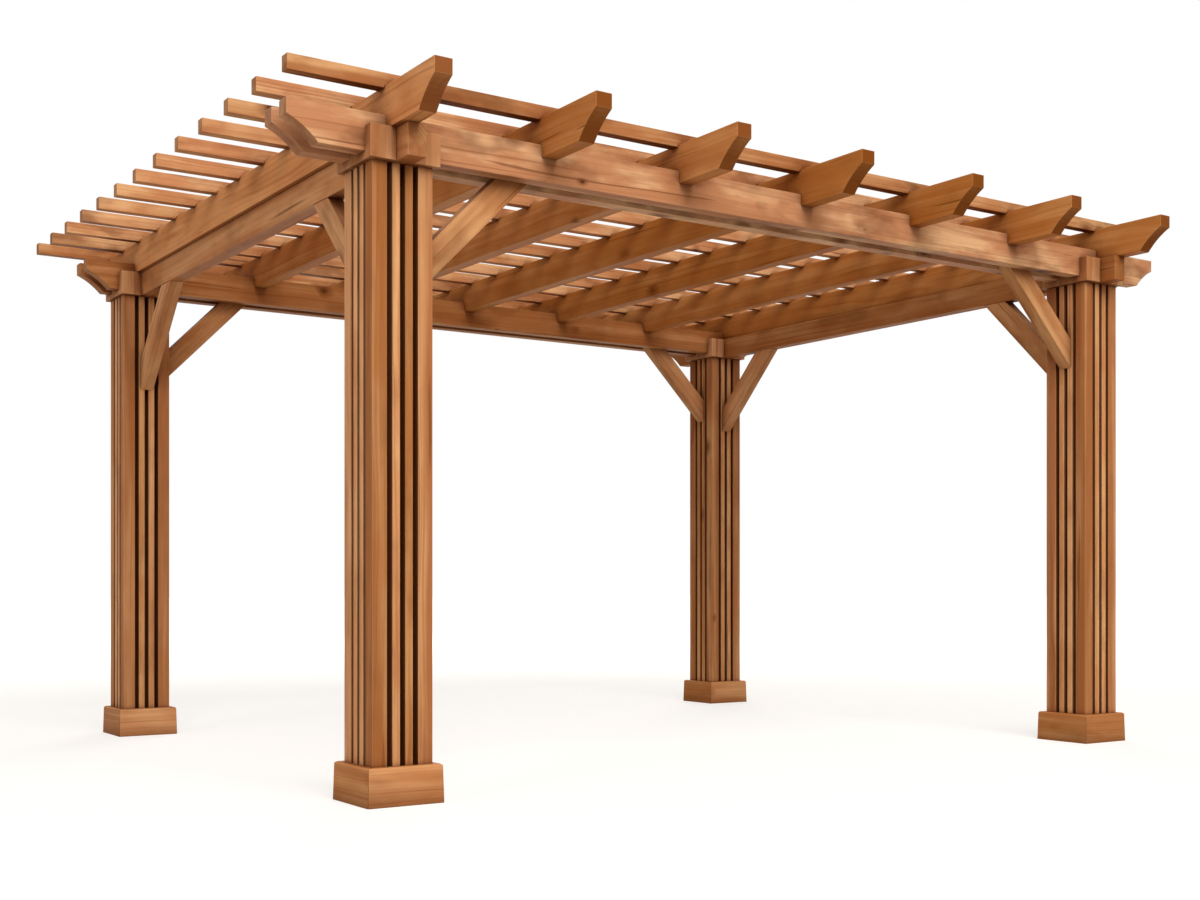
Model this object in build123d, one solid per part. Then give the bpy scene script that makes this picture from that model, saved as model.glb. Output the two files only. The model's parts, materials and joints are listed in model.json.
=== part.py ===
from build123d import *
import math
import os

# Timber pergola with slatted posts, paired main beams, side beams, rafters and roof slats.
# Lengths are in millimetres. The origin is on the ground, midway between the four posts.
# +X runs along the front, +Y runs to the back and +Z is up.

# Posts: a core and four corner timbers, with slats between the corners on every side
post_spacing_x = 4110
post_spacing_y = 3186
post_height = 2438
post_width = 254
corner_timber = 62
core_timber = 120
post_slat_width = 32
post_slat_depth = 45
post_slat_count = 2

# Base skirts: four mitred boards that lean in towards a rounded top
skirt_height = 150
skirt_foot_thickness = 34
skirt_top_thickness = 30
skirt_rounding = 10
mitre_gap = 1
mitre_angle = 45

# Side beams: single timbers on the middle of the posts, square in front and scooped behind
side_beam_width = 78
side_beam_height = 127
side_beam_front_overhang = 248
side_beam_tip_height = 30
side_beam_scoop_length = 140

# Main beams: two plies along the front and two along the back
ply_thickness = 70
ply_height = 150
front_beam_overhang = 460
back_beam_overhang = 320

# Cap blocks: beside the side beam on each post, notched for the plies
cap_side_overhang = 20
cap_end_overhang = 28
cap_seat = 30

# Rafters: front to back over the main beams
rafter_count = 7
rafter_width = 74
rafter_height = 165
rafter_overhang = 505
rafter_outset = 25

# Scooped ends, alike on plies and rafters
tip_height = 60
scoop_length = 126
scoop_sag = 9

# Roof slats: left to right, notched over the rafters
roof_slat_count = 13
roof_slat_thickness = 52
roof_slat_height = 60
roof_slat_notch = 10
roof_slat_overhang = 455
roof_slat_front_margin = 403
roof_slat_back_margin = 57

# Knee braces: 45 degrees between the posts and the beams
brace_thickness = 72
brace_width = 106
main_brace_leg = 478
side_brace_leg = 520
brace_tongue = 80

# Fits
lap_clearance = 0.5
overrun = 20

# Levels and places that follow from the sizes above
side_beam_top = post_height + side_beam_height
ply_seat = post_height + cap_seat
ply_top = ply_seat + ply_height
lap_level = (ply_seat + side_beam_top) / 2
rafter_top = side_beam_top + rafter_height
roof_slat_seat = rafter_top - roof_slat_notch
ply_offset = (brace_thickness + ply_thickness) / 2
cap_width = post_width + 2 * cap_side_overhang
cap_length = post_width + 2 * cap_end_overhang
rafter_length = post_spacing_y + 2 * rafter_overhang
rafter_spread = post_spacing_x + 2 * rafter_outset
brace_chord = brace_width * math.sqrt(2)

ON_GROUND = (Align.CENTER, Align.CENTER, Align.MIN)
SIDES = {"left": -1, "right": 1}
ENDS = {"front": -1, "back": 1}


def timber(size_x, size_y, size_z, place):
    """A plain squared timber that stands on the given place."""
    return Pos(*place) * Box(size_x, size_y, size_z, align=ON_GROUND)


def spread(count, span):
    """Evenly spaced places from one end of a span to the other, about zero."""
    return [span * (step / (count - 1)) - span / 2 for step in range(count)]


def post_timbers():
    """The four corner timbers of a post, and the core that stands inside them."""
    reach = (post_width - corner_timber) / 2
    corners = [
        timber(corner_timber, corner_timber, post_height, (side * reach, end * reach, 0))
        for side in SIDES.values()
        for end in ENDS.values()
    ]
    return corners + [timber(core_timber, core_timber, post_height, (0, 0, 0))]


def post_slats():
    """The slats in the four sides of a post, with equal gaps."""
    clear = post_width - 2 * corner_timber
    gap = (clear - post_slat_count * post_slat_width) / (post_slat_count + 1)
    pitch = post_slat_width + gap
    reach = (post_width - post_slat_depth) / 2
    slats = []
    for step in range(post_slat_count):
        along = (step - (post_slat_count - 1) / 2) * pitch
        for way in (-1, 1):
            slats.append(timber(post_slat_width, post_slat_depth, post_height, (along, way * reach, 0)))
            slats.append(timber(post_slat_depth, post_slat_width, post_height, (way * reach, along, 0)))
    return slats


def skirt_boards():
    """The four leaning boards round the foot of a post, parted at the mitres."""
    foot_width = post_width + 2 * skirt_foot_thickness
    lean = math.degrees(math.atan2(skirt_foot_thickness - skirt_top_thickness, skirt_height))
    ring = extrude(Rectangle(foot_width, foot_width), skirt_height, taper=lean)
    ring = fillet(ring.edges().group_by(Axis.Z)[-1], skirt_rounding)
    ring -= timber(post_width, post_width, skirt_height, (0, 0, 0))
    for turn in (mitre_angle, -mitre_angle):
        ring -= Rot(0, 0, turn) * timber(2 * foot_width, mitre_gap, skirt_height, (0, 0, 0))
    return ring.solids()


def cap_blocks():
    """Two blocks beside the side beam, with slots that the plies drop into."""
    block_width = (cap_width - side_beam_width) / 2
    reach = (cap_width - block_width) / 2
    blocks = []
    for side in SIDES.values():
        block = timber(block_width, cap_length, side_beam_height, (side * reach, 0, post_height))
        for way in (-1, 1):
            place = (side * reach, way * ply_offset, ply_seat)
            block -= timber(2 * block_width, ply_thickness, ply_height, place)
        blocks.append(block)
    return blocks


def scooped_outline(length, bottom, top, tip=tip_height, scoop=scoop_length):
    """Side view of a timber whose ends are scooped below a square tip."""
    half = length / 2
    nose = half - scoop
    tip_foot = top - tip
    outline = Polyline((-nose, bottom), (nose, bottom))
    outline += SagittaArc((nose, bottom), (half, tip_foot), scoop_sag)
    outline += Polyline((half, tip_foot), (half, top), (-half, top), (-half, tip_foot))
    outline += SagittaArc((-half, tip_foot), (-nose, bottom), scoop_sag)
    return make_face(outline)


def main_beam_ply(place_y):
    """One ply of a main beam, lapped over both side beams."""
    overhang = front_beam_overhang if place_y < 0 else back_beam_overhang
    side_view = Plane.XZ * scooped_outline(post_spacing_x + 2 * overhang, ply_seat, ply_top)
    ply = Pos(0, place_y, 0) * extrude(side_view, ply_thickness / 2, both=True)
    lap_width = side_beam_width + 2 * lap_clearance
    for side in SIDES.values():
        place = (side * post_spacing_x / 2, place_y, ply_seat - overrun)
        ply -= timber(lap_width, ply_thickness + 2 * overrun, lap_level - ply_seat + overrun, place)
    return ply


def ply_places():
    """Middle of every ply along Y, from the front to the back."""
    return [
        end * post_spacing_y / 2 + way * ply_offset
        for end in ENDS.values()
        for way in (-1, 1)
    ]


def side_beam(place_x):
    """A side beam as long as a rafter behind, cut off square in front and lapped under the plies."""
    outline = scooped_outline(
        rafter_length, post_height, side_beam_top, side_beam_tip_height, side_beam_scoop_length
    )
    beam = Pos(place_x, 0, 0) * extrude(Plane.YZ * outline, side_beam_width / 2, both=True)
    cut_width = side_beam_width + 2 * overrun
    cut_height = side_beam_height + 2 * overrun
    front = -post_spacing_y / 2 - side_beam_front_overhang
    place = (place_x, front - rafter_length / 2, post_height - overrun)
    beam -= timber(cut_width, rafter_length, cut_height, place)
    lap_width = ply_thickness + 2 * lap_clearance
    lap_depth = side_beam_top - lap_level + overrun
    for place_y in ply_places():
        beam -= timber(cut_width, lap_width, lap_depth, (place_x, place_y, lap_level))
    return beam


def rafter(place_x):
    """A rafter, notched to sit down over the plies."""
    side_view = Plane.YZ * scooped_outline(rafter_length, side_beam_top, rafter_top)
    beam = Pos(place_x, 0, 0) * extrude(side_view, rafter_width / 2, both=True)
    notch_width = ply_thickness + 2 * lap_clearance
    notch_height = ply_top - side_beam_top + overrun
    for place_y in ply_places():
        place = (place_x, place_y, side_beam_top - overrun)
        beam -= timber(rafter_width + 2 * overrun, notch_width, notch_height, place)
    return beam


def brace_outline(leg, seat, tongue):
    """Side view of a brace from a post face up to a seat, run on by its tongue."""
    start = post_width / 2
    far = start + leg + tongue
    foot = seat - leg
    return make_face(
        Polyline(
            (start, foot),
            (far, seat + tongue),
            (far - brace_chord, seat + tongue),
            (start, foot + brace_chord),
            close=True,
        )
    )


def knee_braces(side, end):
    """The two braces of the post at one corner, towards the other posts."""
    post_x = side * post_spacing_x / 2
    post_y = end * post_spacing_y / 2
    main_view = Plane.XZ * brace_outline(main_brace_leg, ply_seat, brace_tongue)
    side_view = Plane.YZ * brace_outline(side_brace_leg, post_height, 0)
    main_brace = extrude(main_view, brace_thickness / 2, both=True)
    side_brace = extrude(side_view, brace_thickness / 2, both=True)
    if side > 0:
        main_brace = mirror(main_brace, Plane.YZ)
    if end > 0:
        side_brace = mirror(side_brace, Plane.XZ)
    return [Pos(post_x, post_y, 0) * main_brace, Pos(post_x, post_y, 0) * side_brace]


def roof_slat_places():
    """Middle of every roof slat along Y, from the front to the back."""
    first = roof_slat_front_margin + roof_slat_thickness / 2 - rafter_length / 2
    last = rafter_length / 2 - roof_slat_back_margin - roof_slat_thickness / 2
    pitch = (last - first) / (roof_slat_count - 1)
    return [first + step * pitch for step in range(roof_slat_count)]


def roof_slat(place_y):
    """A roof slat, notched to sit down over the rafters."""
    length = post_spacing_x + 2 * roof_slat_overhang
    slat = timber(length, roof_slat_thickness, roof_slat_height, (0, place_y, roof_slat_seat))
    notch_width = rafter_width + 2 * lap_clearance
    notch_height = roof_slat_notch + overrun
    for place_x in spread(rafter_count, rafter_spread):
        place = (place_x, place_y, roof_slat_seat - overrun)
        slat -= timber(notch_width, roof_slat_thickness + 2 * overrun, notch_height, place)
    return slat


def save(name, pieces):
    """Write one node, as a single solid or as solids that stand apart."""
    shape = pieces[0] if len(pieces) == 1 else Compound(children=pieces)
    export_step(shape, f"parts/{name}.step")


def main():
    os.makedirs("parts", exist_ok=True)
    for end_name, end in ENDS.items():
        for side_name, side in SIDES.items():
            corner = f"{end_name}_{side_name}"
            place = Pos(side * post_spacing_x / 2, end * post_spacing_y / 2, 0)
            save(f"post_timbers_{corner}", [place * piece for piece in post_timbers()])
            save(f"post_slats_{corner}", [place * piece for piece in post_slats()])
            save(f"base_skirt_{corner}", [place * piece for piece in skirt_boards()])
            save(f"cap_blocks_{corner}", [place * piece for piece in cap_blocks()])
            save(f"knee_braces_{corner}", knee_braces(side, end))
    ply_names = ("front_beam_outer", "front_beam_inner", "back_beam_inner", "back_beam_outer")
    for name, place_y in zip(ply_names, ply_places()):
        save(name, [main_beam_ply(place_y)])
    for side_name, side in SIDES.items():
        save(f"{side_name}_side_beam", [side_beam(side * post_spacing_x / 2)])
    for number, place_x in enumerate(spread(rafter_count, rafter_spread), start=1):
        save(f"rafter_{number}", [rafter(place_x)])
    for number, place_y in enumerate(roof_slat_places(), start=1):
        save(f"roof_slat_{number:02d}", [roof_slat(place_y)])


main()
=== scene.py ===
import json
import math
import random
from typing import NamedTuple

import bmesh
import bpy
from mathutils import Color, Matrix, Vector


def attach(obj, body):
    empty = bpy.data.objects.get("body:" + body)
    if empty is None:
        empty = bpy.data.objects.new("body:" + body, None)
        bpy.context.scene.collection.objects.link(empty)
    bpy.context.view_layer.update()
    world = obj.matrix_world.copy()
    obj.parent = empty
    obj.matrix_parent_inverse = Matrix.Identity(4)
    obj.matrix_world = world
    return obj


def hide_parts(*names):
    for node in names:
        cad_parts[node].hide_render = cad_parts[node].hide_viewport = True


# A timber pergola in oiled cedar. Each timber keeps its place and size and gains eased edges,
# a grain direction of its own and a procedural wood finish, with painted shade where parts meet. Lengths
# are in metres.

# Camera: level verticals, in a frame of 1200 by 900 pixels
FRAME_WIDTH = 1200
FRAME_HEIGHT = 900
HORIZON_ROW = 583.64
LENS_MM = 45.02
SENSOR_MM = 36.0
CAMERA_PLACE = (-4.6059, -6.8755, 0.8414)
CAMERA_TILT_DEG = 90.0
CAMERA_HEADING_DEG = 33.81

# Light: one large soft key in front, weaker ones on the left and behind, and an even sky
SKY_STRENGTH = 0.35
KEY_PLACE = (-3.5, -14.5, 13.0)
KEY_SIZE = 14.0
KEY_WATTS = 3150.0
SIDE_PLACE = (-14.0, -5.0, 4.5)
SIDE_SIZE = 6.0
SIDE_WATTS = 380.0
BACK_PLACE = (9.0, 12.0, 8.0)
BACK_SIZE = 8.0
BACK_WATTS = 900.0
LIGHT_TARGET = (0.0, 0.0, 1.4)
WHITE = (1.0, 1.0, 1.0, 1.0)

# Floor: near and far distance of its glow, and the glow's strength at each
FLOOR_SIZE = 160.0
FLOOR_COLOUR = (0.48, 0.45, 0.4, 1.0)
FLOOR_GLOW_FADE = (4.0, 14.0, 0.6, 1.0)

# Timber edges
EASE_RADIUS = 0.003
EASE_SEGMENTS = 2
EASE_PROFILE = 0.6
SHARP_DEG = 30.0
FLAT_DEG = 0.2
WELD_DISTANCE = 0.00002
FLAT_FACE_WEIGHT = 100

# Grain of a timber: how far along the log and how far from its heart it may be cut
SEED = 5
LOG_LENGTH = 60.0
HEART_OFFSET = 0.16
LENGTH_DIGITS = 4
STEEP_SLOPE = 0.9
UPRIGHT_GRAIN = ("cap_block",)

# Wood colours, as sRGB bytes, and last the colour of the painted shade in corners, crevices and gaps
BYTE_TOP = 255
PALE = (226, 174, 124)
BODY = (194, 131, 86)
RED = (160, 95, 55)
DEEP = (98, 48, 20)
STAIN = (120, 72, 42)
KNOT = (88, 46, 22)
END = (124, 73, 43)
# Painted shade, laid where faces meet and in the gaps of the posts
PAINTED_SHADE = (84, 36, 9)

# Wood figure: cells per metre along, across and through the grain, and noise detail.
# Growth rings are counted per metre outwards from the heart, and then along.
NOISE_MIDDLE = (0.5, 0.5, 0.5)
SWAY = (0.0, 0.05, 0.05)
SWAY_CELLS = (0.9, 4.0, 4.0)
SWAY_DETAIL = 2.0
KNOT_CELLS = (5.0, 8.0, 8.0)
RING_CELLS = (130.0, 0.4, 1.0)
RING_DETAIL = 3.0
MOTTLE_CELLS = (3.0, 9.0, 9.0)
MOTTLE_DETAIL = 4.0
STREAK_CELLS = (0.5, 15.0, 15.0)
STREAK_DETAIL = 2.0
PATCH_CELLS = (3.4, 8.0, 8.0)
PATCH_DETAIL = 3.0
CHECK_CELLS = (0.8, 55.0, 55.0)
CHECK_DETAIL = 1.0
FIBRE_CELLS = (6.0, 420.0, 420.0)
FIBRE_DETAIL = 2.0

# Strength of the figure: start and end of each fade, and the least and most of the second colour
MOTTLE_FADE = (0.4, 0.62)
PALE_MIDDLE = 0.5
RING_FADE = (0.42, 0.75, 0.0, 0.4)
LINE_FADE = (0.56, 0.8, 0.0, 0.36)
STREAK_START = 0.6
STREAK_LEAN = 0.35
STREAK_BLEND = 0.26
STREAK_DEPTH = 0.9
TONE_LEAN = 0.12
PATCH_FADE = (0.5, 0.72)
STAIN_DEPTH = 0.7
CHECK_FADE = (0.7, 0.76, 0.0, 0.6)
LEAST_KNOT = 0.001
KNOT_REACH = 0.2
KNOT_FADE = (1.1, 0.25)
HALO_FADE = (2.2, 0.8)
KNOT_BEND = 0.012
HALO_DEPTH = 0.5
END_START = 0.2
END_FULL = 0.7
EDGE_WEAR = 0.22
EDGE_POLISH = 0.06
TONE_VALUE = 0.2
TONE_SATURATION = 0.05
FIBRE_VALUE = 0.14
ROUGH_FADE = (0.2, 0.8, 0.4, 0.58)
SHEEN = 0.03
RING_RELIEF = 0.8
FIBRE_RELIEF = 0.4
KNOT_RELIEF = 0.6
BUMP_STRENGTH = 0.5
BUMP_DEPTH = 0.0008

# Painted shade where parts meet and in gaps: how near another face has to be, and how the painted
# shade fades in the open. The roof slats get painted shade further out, and the inner front ply gets
# none.
PAINTED_SHADE_SAMPLES = 6
PAINTED_SHADE_REACH = 0.14
PAINTED_SHADE_FADE = (0.93, 0.25, 0.0, 0.85)
SLAT_PAINTED_SHADE_REACH = 0.22
SLAT_PAINTED_SHADE_FADE = (0.92, 0.42, 0.0, 0.95)
NO_PAINTED_SHADE = ("front_beam_inner",)


class Wood(NamedTuple):
    """How one kind of timber looks."""

    red_share: float
    streak_share: float
    mottle_share: float
    knot_share: float
    end_share: float
    brightness: float
    saturation: float
    # How far the painted shade reaches from a meeting face, and how it fades
    painted_shade_reach: float = PAINTED_SHADE_REACH
    painted_shade_fade: tuple = PAINTED_SHADE_FADE


class Timber(NamedTuple):
    """How one timber was cut: its grain axes, its middle, its place in the log and its tone."""

    axes: tuple
    middle: Vector
    log_place: Vector
    tone: float


# Shares of red heartwood, of streaks and mottling in it, of knots and of dark end grain,
# and then brightness and saturation, for each slot. The roof slats get their painted shade further out.
WOODS = {
    "post_timber": Wood(0.55, 0.7, 0.3, 0.06, 0.5, 1.0, 1.02),
    "post_slat": Wood(0.2, 0.6, 0.4, 0.1, 0.5, 1.05, 1.02),
    "skirt_board": Wood(0.45, 0.5, 0.4, 0.1, 0.2, 1.12, 1.03),
    "cap_block": Wood(0.35, 0.5, 0.5, 0.05, 0.3, 1.0, 1.0),
    "side_beam": Wood(0.55, 0.5, 0.5, 0.15, 0.2, 1.0, 1.03),
    "main_beam": Wood(0.15, 0.6, 1.0, 0.55, 0.5, 1.02, 0.96),
    "rafter": Wood(0.55, 0.35, 0.35, 0.06, 0.95, 1.08, 1.08),
    "roof_slat": Wood(0.2, 0.7, 0.9, 0.25, 0.5, 1.02, 1.0, SLAT_PAINTED_SHADE_REACH, SLAT_PAINTED_SHADE_FADE),
    "knee_brace": Wood(0.15, 0.5, 0.6, 0.1, 0.4, 1.08, 1.0),
}

# Nodes in the wood of another slot
OTHER_WOODS = {"back_beam_inner": "side_beam", "back_beam_outer": "side_beam"}

# Tones that aren't left to chance, by the timber's number in its node. Chance gives 0, dark, to 1, pale.
CHOSEN_TONES = {
    "back_beam_inner": {0: 0.1},
    "base_skirt_back_left": {0: -0.1},
    "base_skirt_back_right": {0: -0.1},
    "base_skirt_front_left": {0: -0.1, 2: 0.6},
    "base_skirt_front_right": {0: -0.1},
    "cap_blocks_front_left": {1: 0.2},
    "front_beam_inner": {0: 0.9},
    "front_beam_outer": {0: 0.4},
    "knee_braces_back_left": {0: -0.2, 1: 0.3},
    "knee_braces_front_left": {0: -0.2, 1: 0.3},
    "knee_braces_front_right": {0: -0.1, 1: 0.0},
    "post_slats_back_left": {0: 0.1, 4: 0.5},
    "post_slats_front_left": {0: 0.6, 1: 0.9, 4: -0.3, 5: 1.0},
    "post_timbers_back_left": {0: 0.2},
    "post_timbers_front_left": {0: -0.1, 1: 1.1, 2: 0.5},
    "post_timbers_front_right": {0: 0.1, 2: 0.6},
    "rafter_1": {0: 1.2},
    "rafter_3": {0: 0.6},
    "rafter_4": {0: 0.1},
    "rafter_5": {0: 0.0},
    "rafter_6": {0: 0.2},
    "rafter_7": {0: 0.2},
    "right_side_beam": {0: 0.0},
    "roof_slat_01": {0: 0.0},
    "roof_slat_02": {0: 0.75},
}


def linear(srgb):
    """Scene colour of an sRGB byte triple."""
    colour = Color([byte / BYTE_TOP for byte in srgb])
    return (*colour.from_srgb_to_scene_linear(), 1.0)


def make(tree, kind, inputs, **settings):
    """One shader node with its settings, and its inputs set or linked."""
    made = tree.nodes.new(kind)
    for name, value in settings.items():
        setattr(made, name, value)
    for name, value in inputs.items():
        if isinstance(value, bpy.types.NodeSocket):
            tree.links.new(value, made.inputs[name])
        else:
            made.inputs[name].default_value = value
    return made


def attribute(tree, name, output="Fac"):
    """A value stored on the mesh."""
    return make(tree, "ShaderNodeAttribute", {}, attribute_name=name).outputs[output]


def arithmetic(tree, operation, first, second):
    """The result of one sum on two values."""
    return make(tree, "ShaderNodeMath", {0: first, 1: second}, operation=operation).outputs[0]


def vector_sum(tree, operation, first, second):
    """The result of one sum on two vectors."""
    return make(tree, "ShaderNodeVectorMath", {0: first, 1: second}, operation=operation).outputs[0]


def ramp(tree, value, start, end, low=0.0, high=1.0):
    """A smooth step of a value from one level to another."""
    inputs = {"Value": value, "From Min": start, "From Max": end, "To Min": low, "To Max": high}
    return make(tree, "ShaderNodeMapRange", inputs, interpolation_type="SMOOTHSTEP").outputs["Result"]


def noise(tree, place, stretch, detail, output="Fac"):
    """Noise of so many cells per metre along, across and through the grain."""
    inputs = {"Vector": vector_sum(tree, "MULTIPLY", place, stretch), "Scale": 1.0, "Detail": detail}
    return make(tree, "ShaderNodeTexNoise", inputs).outputs[output]


def tint(tree, factor, under, over):
    """One colour laid over another."""
    factor_socket, under_socket, over_socket, result_socket = 0, 6, 7, 2
    inputs = {factor_socket: factor, under_socket: under, over_socket: over}
    return make(tree, "ShaderNodeMix", inputs, data_type="RGBA").outputs[result_socket]


def knots(tree, place, knot_share):
    """Where knots and the stained wood round them lie."""
    inputs = {"Vector": vector_sum(tree, "MULTIPLY", place, KNOT_CELLS), "Scale": 1.0}
    cells = make(tree, "ShaderNodeTexVoronoi", inputs).outputs
    pick = make(tree, "ShaderNodeSeparateColor", {"Color": cells["Color"]}).outputs["Red"]
    size = ramp(tree, pick, 1.0 - knot_share, 1.0 - knot_share / 2, LEAST_KNOT, KNOT_REACH)
    depth = arithmetic(tree, "DIVIDE", cells["Distance"], size)
    return ramp(tree, depth, *KNOT_FADE), ramp(tree, depth, *HALO_FADE)


def growth_rings(tree, place, halo):
    """Growth rings about the heart of the timber, bent round the knots."""
    split = make(tree, "ShaderNodeSeparateXYZ", {"Vector": place}).outputs
    across = make(tree, "ShaderNodeCombineXYZ", {"Y": split["Y"], "Z": split["Z"]}).outputs[0]
    radius = make(tree, "ShaderNodeVectorMath", {0: across}, operation="LENGTH").outputs["Value"]
    radius = arithmetic(tree, "ADD", radius, arithmetic(tree, "MULTIPLY", halo, KNOT_BEND))
    ring_place = make(tree, "ShaderNodeCombineXYZ", {"X": radius, "Y": split["X"]}).outputs[0]
    return noise(tree, ring_place, RING_CELLS, RING_DETAIL)


def wood_marks(tree, wood):
    """All that the colour and the relief are made of: figure in the grain, and values on the mesh."""
    grain = attribute(tree, "grain", "Vector")
    wave = noise(tree, grain, SWAY_CELLS, SWAY_DETAIL, "Color")
    wave = vector_sum(tree, "SUBTRACT", wave, NOISE_MIDDLE)
    bent = vector_sum(tree, "ADD", grain, vector_sum(tree, "MULTIPLY", wave, SWAY))
    knot, halo = knots(tree, bent, wood.knot_share)
    return {
        "knot": knot,
        "halo": halo,
        "rings": growth_rings(tree, bent, halo),
        "mottle": noise(tree, bent, MOTTLE_CELLS, MOTTLE_DETAIL),
        "streaks": noise(tree, bent, STREAK_CELLS, STREAK_DETAIL),
        "patches": noise(tree, bent, PATCH_CELLS, PATCH_DETAIL),
        "checks": noise(tree, bent, CHECK_CELLS, CHECK_DETAIL),
        "fibre": noise(tree, bent, FIBRE_CELLS, FIBRE_DETAIL),
        "tone": attribute(tree, "tone"),
        "edge": attribute(tree, "edge"),
        # Where painted shade may fall, stored on the mesh
        "joints": attribute(tree, "joints"),
        "end_grain": attribute(tree, "end_grain"),
    }


def figured_colour(tree, wood, marks):
    """Brown wood with its mottling, growth rings and red heartwood, which is redder in a dark timber."""
    swing = wood.mottle_share / 2
    paleness = ramp(tree, marks["mottle"], *MOTTLE_FADE, PALE_MIDDLE - swing, PALE_MIDDLE + swing)
    colour = tint(tree, paleness, linear(BODY), linear(PALE))
    colour = tint(tree, ramp(tree, marks["rings"], *RING_FADE), colour, linear(RED))
    pale_lean = arithmetic(tree, "MULTIPLY", marks["tone"], TONE_LEAN)
    streaks = arithmetic(tree, "SUBTRACT", marks["streaks"], pale_lean)
    start = STREAK_START - STREAK_LEAN * wood.red_share - TONE_LEAN
    even_red = STREAK_DEPTH * wood.red_share * (1.0 - wood.streak_share)
    most_red = even_red + STREAK_DEPTH * wood.streak_share
    redness = ramp(tree, streaks, start, start + STREAK_BLEND, even_red, most_red)
    colour = tint(tree, redness, colour, linear(RED))
    return tint(tree, ramp(tree, marks["rings"], *LINE_FADE), colour, linear(DEEP))


def marked_colour(tree, wood, marks, colour):
    """The same wood with stains, drying checks, knots, dark ends, worn edges and painted shade where
    parts meet.
    """
    stains = ramp(tree, marks["patches"], *PATCH_FADE, 0.0, STAIN_DEPTH * wood.mottle_share)
    colour = tint(tree, stains, colour, linear(STAIN))
    colour = tint(tree, ramp(tree, marks["checks"], *CHECK_FADE), colour, linear(DEEP))
    colour = tint(tree, arithmetic(tree, "MULTIPLY", marks["halo"], HALO_DEPTH), colour, linear(DEEP))
    colour = tint(tree, marks["knot"], colour, linear(KNOT))
    end_depth = arithmetic(tree, "MULTIPLY", marks["end_grain"], wood.end_share)
    colour = tint(tree, end_depth, colour, linear(END))
    colour = tint(tree, arithmetic(tree, "MULTIPLY", marks["edge"], EDGE_WEAR), colour, linear(PALE))
    # Painted shade: darker wherever another face is near, in corners, crevices and gaps
    reach = {"Distance": wood.painted_shade_reach}
    open_share = make(tree, "ShaderNodeAmbientOcclusion", reach, samples=PAINTED_SHADE_SAMPLES).outputs["AO"]
    shade = arithmetic(tree, "MULTIPLY", ramp(tree, open_share, *wood.painted_shade_fade), marks["joints"])
    return tint(tree, shade, colour, linear(PAINTED_SHADE))


def toned_colour(tree, wood, marks, colour):
    """The same wood in the tone of its timber, with pale and dark fibres."""
    tone_value = arithmetic(tree, "MULTIPLY", marks["tone"], TONE_VALUE)
    fibre_value = arithmetic(tree, "MULTIPLY", marks["fibre"], FIBRE_VALUE)
    middle = wood.brightness - (TONE_VALUE + FIBRE_VALUE) / 2
    value = arithmetic(tree, "ADD", arithmetic(tree, "ADD", tone_value, fibre_value), middle)
    dulling = arithmetic(tree, "MULTIPLY", marks["tone"], TONE_SATURATION)
    saturation = arithmetic(tree, "SUBTRACT", wood.saturation + TONE_SATURATION / 2, dulling)
    inputs = {"Color": colour, "Value": value, "Saturation": saturation}
    return make(tree, "ShaderNodeHueSaturation", inputs).outputs["Color"]


def wood_normal(tree, marks):
    """Raised rings and fibres, and sunken knots and drying checks."""
    rings = arithmetic(tree, "MULTIPLY", marks["rings"], RING_RELIEF)
    fibres = arithmetic(tree, "MULTIPLY", marks["fibre"], FIBRE_RELIEF)
    sunken_knots = arithmetic(tree, "MULTIPLY", marks["knot"], KNOT_RELIEF)
    relief = arithmetic(tree, "SUBTRACT", arithmetic(tree, "ADD", rings, fibres), sunken_knots)
    relief = arithmetic(tree, "SUBTRACT", relief, ramp(tree, marks["checks"], *CHECK_FADE))
    inputs = {"Height": relief, "Strength": BUMP_STRENGTH, "Distance": BUMP_DEPTH}
    return make(tree, "ShaderNodeBump", inputs).outputs["Normal"]


def wood_material(slot, wood):
    """Cedar with growth rings, heartwood streaks, fibre, knots, worn edges and painted shade where parts
    meet.
    """
    material = bpy.data.materials.new(f"cedar_{slot}")
    material.use_nodes = True
    tree = material.node_tree
    shader = tree.nodes["Principled BSDF"]
    marks = wood_marks(tree, wood)
    colour = marked_colour(tree, wood, marks, figured_colour(tree, wood, marks))
    tree.links.new(toned_colour(tree, wood, marks, colour), shader.inputs["Base Color"])
    polish = arithmetic(tree, "MULTIPLY", marks["edge"], EDGE_POLISH)
    roughness = arithmetic(tree, "SUBTRACT", ramp(tree, marks["fibre"], *ROUGH_FADE), polish)
    tree.links.new(roughness, shader.inputs["Roughness"])
    tree.links.new(wood_normal(tree, marks), shader.inputs["Normal"])
    shader.inputs["Specular IOR Level"].default_value = SHEEN
    return material


def islands(mesh):
    """The separate timbers of a mesh, as lists of vertices."""
    waiting = set(mesh.verts)
    found = []
    for start in mesh.verts:
        if start not in waiting:
            continue
        group = []
        frontier = [start]
        waiting.discard(start)
        while frontier:
            vertex = frontier.pop()
            group.append(vertex)
            for edge in vertex.link_edges:
                other = edge.other_vert(vertex)
                if other in waiting:
                    waiting.discard(other)
                    frontier.append(other)
        found.append(group)
    return found


def grain_axes(group, upright):
    """Directions along, across and through a timber. Its longest edge gives the first."""
    along = Vector((0, 0, 1))
    if not upright:
        edges = [edge for vertex in group for edge in vertex.link_edges]
        longest = max(edges, key=lambda edge: round(edge.calc_length(), LENGTH_DIGITS))
        along = (longest.verts[1].co - longest.verts[0].co).normalized()
    reference = Vector((1, 0, 0)) if abs(along.z) > STEEP_SLOPE else Vector((0, 0, 1))
    across = along.cross(reference).normalized()
    return along, across, across.cross(along)


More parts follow.
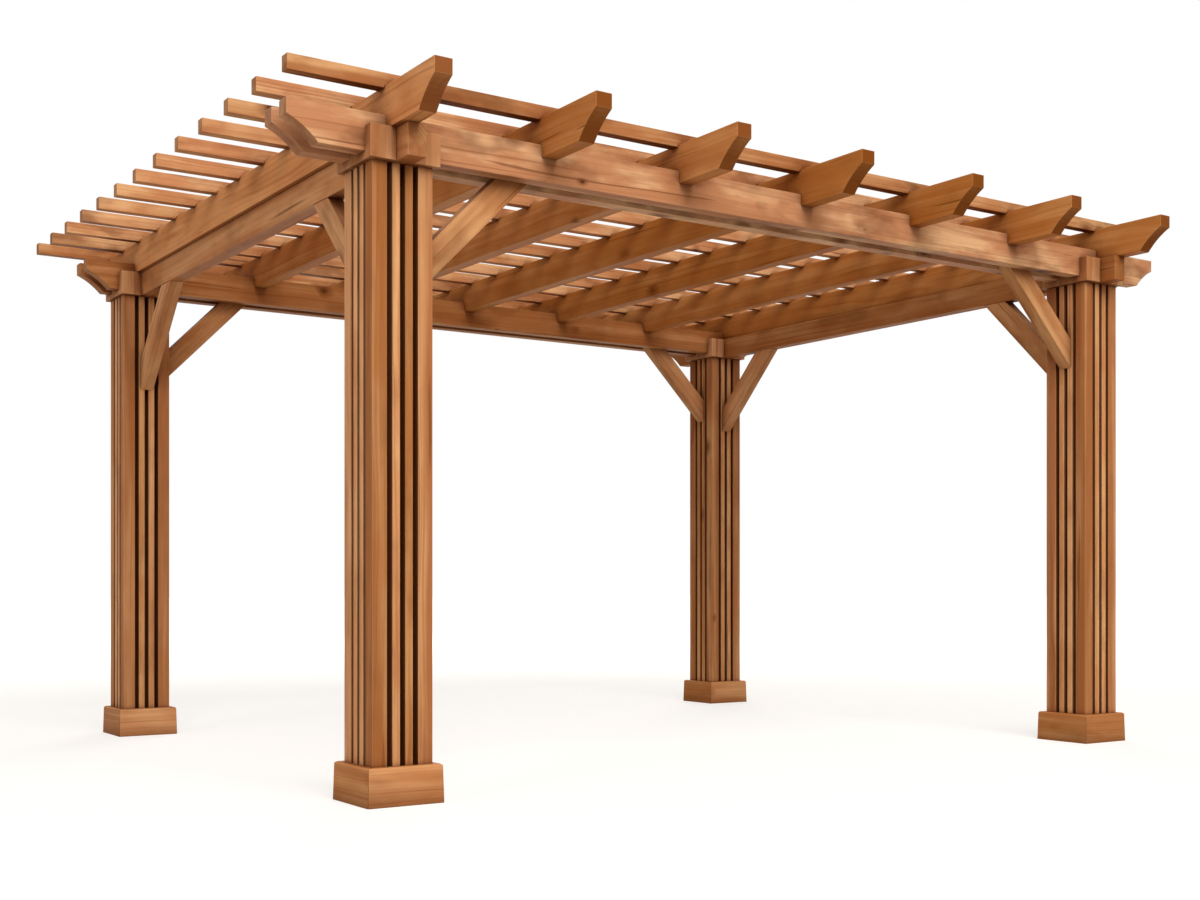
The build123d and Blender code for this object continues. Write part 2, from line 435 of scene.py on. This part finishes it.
def cut_timber(group, upright, chosen_tone, draw):
    """The grain and tone of one timber. A tone is drawn also where one is chosen."""
    middle = sum((vertex.co for vertex in group), Vector()) / len(group)
    along = draw.uniform(0, LOG_LENGTH)
    across = draw.uniform(-HEART_OFFSET, HEART_OFFSET)
    through = draw.uniform(-HEART_OFFSET, HEART_OFFSET)
    drawn_tone = draw.random()
    tone = drawn_tone if chosen_tone is None else chosen_tone
    return Timber(grain_axes(group, upright), middle, Vector((along, across, through)), tone)


def ease_edges(mesh):
    """Round the sharp edges of a mesh, and return the faces that this makes."""
    sharp = [edge for edge in mesh.edges if edge.calc_face_angle(0.0) > math.radians(SHARP_DEG)]
    eased = bmesh.ops.bevel(
        mesh,
        geom=sharp,
        offset=EASE_RADIUS,
        offset_type="OFFSET",
        segments=EASE_SEGMENTS,
        profile=EASE_PROFILE,
        affect="EDGES",
        clamp_overlap=True,
    )
    return set(eased["faces"])


def end_grain(face, along):
    """0 on a face along the grain, rising to 1 on one across it."""
    slope = abs(face.normal.dot(along))
    return min(1.0, max(0.0, (slope - END_START) / (END_FULL - END_START)))


def sharp_mesh(source):
    """A copy of a node's mesh for editing, with each flat face in one piece."""
    mesh = bmesh.new()
    mesh.from_mesh(source)
    bmesh.ops.remove_doubles(mesh, verts=mesh.verts, dist=WELD_DISTANCE)
    flat_angle = math.radians(FLAT_DEG)
    bmesh.ops.dissolve_limit(mesh, angle_limit=flat_angle, verts=mesh.verts, edges=mesh.edges)
    return mesh


def timber_mesh(name, source, upright, draw):
    """A node's mesh with eased edges, and what the wood needs stored on it."""
    mesh = sharp_mesh(source)
    grain_layer = mesh.verts.layers.float_vector.new("grain")
    number_layer = mesh.verts.layers.int.new("timber")
    tone_layer = mesh.verts.layers.float.new("tone")
    edge_layer = mesh.verts.layers.float.new("edge")
    painted_shade_layer = mesh.verts.layers.float.new("joints")
    end_layer = mesh.faces.layers.float.new("end_grain")

    timbers = []
    chosen_tones = CHOSEN_TONES.get(name, {})
    for number, group in enumerate(islands(mesh)):
        timbers.append(cut_timber(group, upright, chosen_tones.get(number), draw))
        for vertex in group:
            vertex[number_layer] = number

    eased_faces = ease_edges(mesh)
    for vertex in mesh.verts:
        timber = timbers[vertex[number_layer]]
        offset = vertex.co - timber.middle
        vertex[grain_layer] = Vector([offset.dot(axis) for axis in timber.axes]) + timber.log_place
        vertex[tone_layer] = timber.tone
        # Painted shade may fall on every timber but the inner front ply
        vertex[painted_shade_layer] = float(name not in NO_PAINTED_SHADE)
        vertex[edge_layer] = float(all(face in eased_faces for face in vertex.link_faces))
    for face in mesh.faces:
        timber = timbers[face.verts[0][number_layer]]
        face[end_layer] = end_grain(face, timber.axes[0])
        face.smooth = True
    made = bpy.data.meshes.new(source.name + "_eased")
    mesh.to_mesh(made)
    mesh.free()
    return made


def dress_node(name, node, slot, material, draw):
    """A timber piece that stands for one node of the frame."""
    mesh = timber_mesh(name, node.data, slot in UPRIGHT_GRAIN, draw)
    mesh.materials.append(material)
    piece = bpy.data.objects.new(f"{name}_timber", mesh)
    bpy.context.scene.collection.objects.link(piece)
    normals = piece.modifiers.new("flat_faces", "WEIGHTED_NORMAL")
    normals.mode = "FACE_AREA"
    normals.weight = FLAT_FACE_WEIGHT
    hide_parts(name)
    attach(piece, "root")


def dress_timbers():
    """Every node of the frame, dressed in its wood."""
    draw = random.Random(SEED)
    slots = {part["node"]: part["material_slot"] for part in frame["record"]["subparts"]}
    materials = {slot: wood_material(slot, wood) for slot, wood in WOODS.items()}
    for name in sorted(frame["nodes"]):
        wood = OTHER_WOODS.get(name, slots[name])
        dress_node(name, frame["nodes"][name], slots[name], materials[wood], draw)


def seen_directly(tree):
    """1 for rays from the camera, mirrors and glass, and 0 for the light that falls on things."""
    path = make(tree, "ShaderNodeLightPath", {})
    seen = arithmetic(tree, "MAXIMUM", path.outputs["Is Camera Ray"], path.outputs["Is Glossy Ray"])
    return arithmetic(tree, "MAXIMUM", seen, path.outputs["Is Transmission Ray"])


def make_sky():
    """An even sky, which is plain white where it is seen."""
    world = bpy.data.worlds.new("studio_sky")
    bpy.context.scene.world = world
    world.use_nodes = True
    tree = world.node_tree
    tree.nodes.clear()
    light = make(tree, "ShaderNodeBackground", {"Color": WHITE, "Strength": SKY_STRENGTH})
    backdrop = make(tree, "ShaderNodeBackground", {"Color": WHITE, "Strength": 1.0})
    inputs = {0: seen_directly(tree), 1: light.outputs[0], 2: backdrop.outputs[0]}
    mixed = make(tree, "ShaderNodeMixShader", inputs)
    make(tree, "ShaderNodeOutputWorld", {"Surface": mixed.outputs[0]})


def floor_material():
    """Matt and pale, with a glow that makes it nearly white where it is seen and leaves the shadows."""
    material = bpy.data.materials.new("pale_floor")
    material.use_nodes = True
    tree = material.node_tree
    tree.nodes.clear()
    matt = make(tree, "ShaderNodeBsdfDiffuse", {"Color": FLOOR_COLOUR})
    place = make(tree, "ShaderNodeNewGeometry", {}).outputs["Position"]
    distance = make(tree, "ShaderNodeVectorMath", {0: place}, operation="LENGTH").outputs["Value"]
    strength = arithmetic(tree, "MULTIPLY", seen_directly(tree), ramp(tree, distance, *FLOOR_GLOW_FADE))
    glow = make(tree, "ShaderNodeEmission", {"Color": WHITE, "Strength": strength})
    both = make(tree, "ShaderNodeAddShader", {0: matt.outputs[0], 1: glow.outputs[0]})
    make(tree, "ShaderNodeOutputMaterial", {"Surface": both.outputs[0]})
    return material


def make_floor():
    """A wide flat floor, level with the feet of the posts."""
    half = FLOOR_SIZE / 2
    mesh = bpy.data.meshes.new("floor")
    corners = [(-half, -half, 0), (half, -half, 0), (half, half, 0), (-half, half, 0)]
    mesh.from_pydata(corners, [], [(0, 1, 2, 3)])
    mesh.materials.append(floor_material())
    floor = bpy.data.objects.new("floor", mesh)
    bpy.context.scene.collection.objects.link(floor)


def make_softbox(name, place, size, watts):
    """A square soft light that faces the middle of the pergola."""
    data = bpy.data.lights.new(name, "AREA")
    data.size = size
    data.energy = watts
    light = bpy.data.objects.new(name, data)
    light.location = place
    light.rotation_euler = (Vector(LIGHT_TARGET) - Vector(place)).to_track_quat("-Z", "Y").to_euler()
    bpy.context.scene.collection.objects.link(light)


def make_camera():
    """A level camera, with the frame raised so that the horizon lies low."""
    data = bpy.data.cameras.new("camera")
    data.sensor_width = SENSOR_MM
    data.lens = LENS_MM
    data.shift_y = (HORIZON_ROW - FRAME_HEIGHT / 2) / FRAME_WIDTH
    camera = bpy.data.objects.new("camera", data)
    camera.location = CAMERA_PLACE
    camera.rotation_euler = (math.radians(CAMERA_TILT_DEG), 0, -math.radians(CAMERA_HEADING_DEG))
    bpy.context.scene.collection.objects.link(camera)
    bpy.context.scene.camera = camera


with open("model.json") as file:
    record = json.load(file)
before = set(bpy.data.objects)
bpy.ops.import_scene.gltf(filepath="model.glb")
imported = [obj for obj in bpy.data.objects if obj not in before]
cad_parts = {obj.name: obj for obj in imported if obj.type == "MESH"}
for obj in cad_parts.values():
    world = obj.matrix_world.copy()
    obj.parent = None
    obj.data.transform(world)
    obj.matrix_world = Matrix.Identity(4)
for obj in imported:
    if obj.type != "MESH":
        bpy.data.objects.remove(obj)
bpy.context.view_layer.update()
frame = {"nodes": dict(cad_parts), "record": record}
bpy.context.scene.view_settings.view_transform = "Standard"
dress_timbers()
make_sky()
make_floor()
make_softbox("key_light", KEY_PLACE, KEY_SIZE, KEY_WATTS)
make_softbox("side_light", SIDE_PLACE, SIDE_SIZE, SIDE_WATTS)
make_softbox("back_light", BACK_PLACE, BACK_SIZE, BACK_WATTS)
make_camera()
